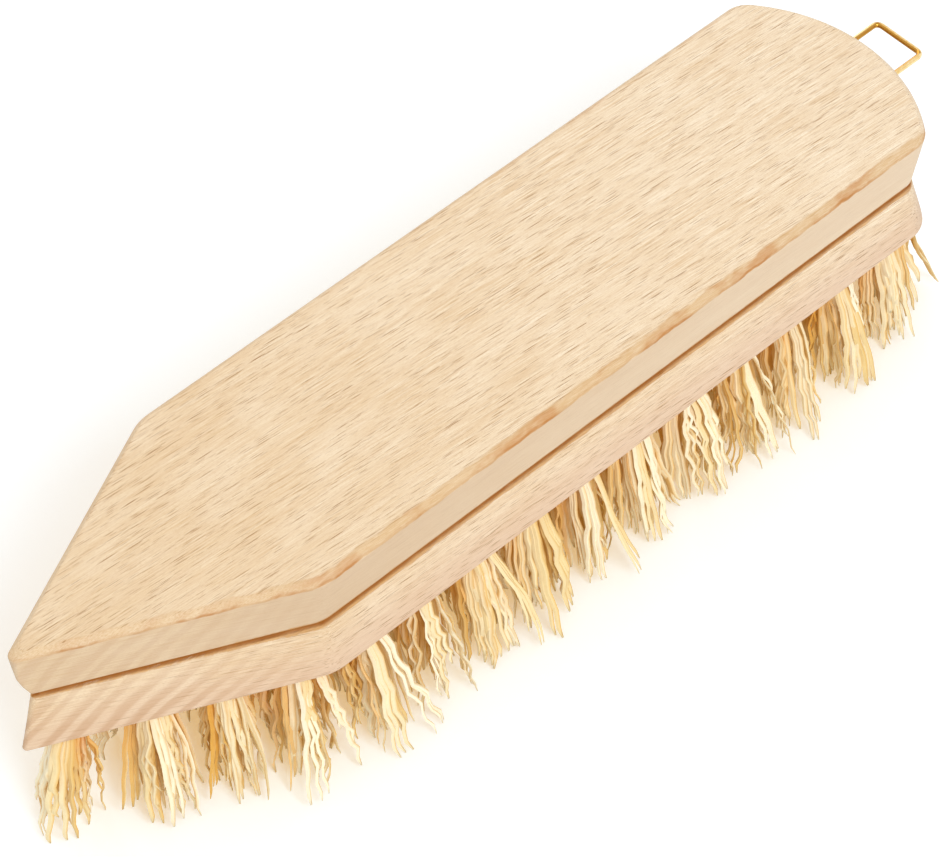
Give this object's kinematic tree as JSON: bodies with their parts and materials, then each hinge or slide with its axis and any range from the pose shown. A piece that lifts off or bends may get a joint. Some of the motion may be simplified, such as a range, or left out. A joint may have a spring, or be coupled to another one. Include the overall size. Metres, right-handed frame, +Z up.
{
  "type": "scrub brush",
  "caption": "Hand scrub brush: a pointed, faceted hardwood block with a milled grip groove, leaning plant-fibre tufts in its underside and a wire loop at the rear to hang it by.",
  "frame": {"origin": "on the plane of the bristle tips, under the middle of the overall length and width", "axes": "+Z up out of the top of the block, +X along the block from the nose to the hanging loop"},
  "size_m": [0.2282, 0.062, 0.057],
  "materials": {
    "wood": "bare, planed and sanded pale beech with fine ray flecks, scorched brown in the groove",
    "fibre": "coarse, wavy, cream to straw-coloured plant fibre, slightly glossy",
    "brass_wire": "bright drawn brass-coloured wire",
    "anchor_metal": "plain flat strip"
  },
  "bodies": {
    "root": {"block": "wood", "hanging_loop": "brass_wire", "tuft_anchors": "anchor_metal", "tuft_inner_left_01": "fibre", "tuft_inner_left_02": "fibre", "tuft_inner_left_03": "fibre", "tuft_inner_left_04": "fibre", "tuft_inner_left_05": "fibre", "tuft_inner_left_06": "fibre", "tuft_inner_left_07": "fibre", "tuft_inner_left_08": "fibre", "tuft_inner_left_09": "fibre", "tuft_inner_left_10": "fibre", "tuft_inner_left_11": "fibre", "tuft_inner_right_01": "fibre", "tuft_inner_right_02": "fibre", "tuft_inner_right_03": "fibre", "tuft_inner_right_04": "fibre", "tuft_inner_right_05": "fibre", "tuft_inner_right_06": "fibre", "tuft_inner_right_07": "fibre", "tuft_inner_right_08": "fibre", "tuft_inner_right_09": "fibre", "tuft_inner_right_10": "fibre", "tuft_inner_right_11": "fibre", "tuft_left_01": "fibre", "tuft_left_02": "fibre", "tuft_left_03": "fibre", "tuft_left_04": "fibre", "tuft_left_05": "fibre", "tuft_left_06": "fibre", "tuft_left_07": "fibre", "tuft_left_08": "fibre", "tuft_left_09": "fibre", "tuft_left_10": "fibre", "tuft_left_11": "fibre", "tuft_left_12": "fibre", "tuft_left_13": "fibre", "tuft_left_14": "fibre", "tuft_nose": "fibre", "tuft_rear_01": "fibre", "tuft_rear_02": "fibre", "tuft_rear_03": "fibre", "tuft_right_01": "fibre", "tuft_right_02": "fibre", "tuft_right_03": "fibre", "tuft_right_04": "fibre", "tuft_right_05": "fibre", "tuft_right_06": "fibre", "tuft_right_07": "fibre", "tuft_right_08": "fibre", "tuft_right_09": "fibre", "tuft_right_10": "fibre", "tuft_right_11": "fibre", "tuft_right_12": "fibre", "tuft_right_13": "fibre", "tuft_right_14": "fibre", "tufts_centre_row": "fibre"}
  },
  "joints": []
}
